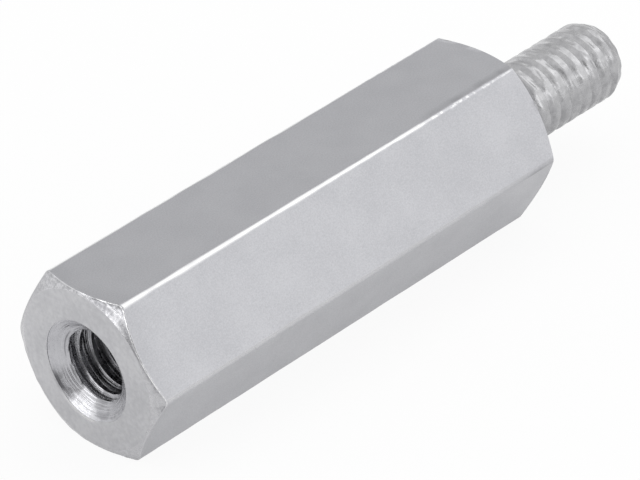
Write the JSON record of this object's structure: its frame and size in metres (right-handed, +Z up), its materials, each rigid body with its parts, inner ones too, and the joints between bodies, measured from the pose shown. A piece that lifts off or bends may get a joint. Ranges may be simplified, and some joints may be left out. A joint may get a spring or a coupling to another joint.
{
  "type": "hex standoff",
  "caption": "Hexagonal standoff turned from drawn bar, with a countersunk tapped hole in the near end and a threaded stud behind a seating shoulder at the far end.",
  "frame": {"origin": "On the standoff's axis, in the plane of the shoulder that seats on the panel", "axes": "+X along the axis and out through the stud, +Z up out of the top flat, +Y across; the part lies on the flat that faces -Z"},
  "size_m": [0.0209, 0.0058, 0.005],
  "materials": {
    "zinc_plated_steel": "satin bright zinc plate over drawn flats and turned ends"
  },
  "bodies": {
    "root": {"hex_standoff": "zinc_plated_steel"}
  },
  "joints": []
}
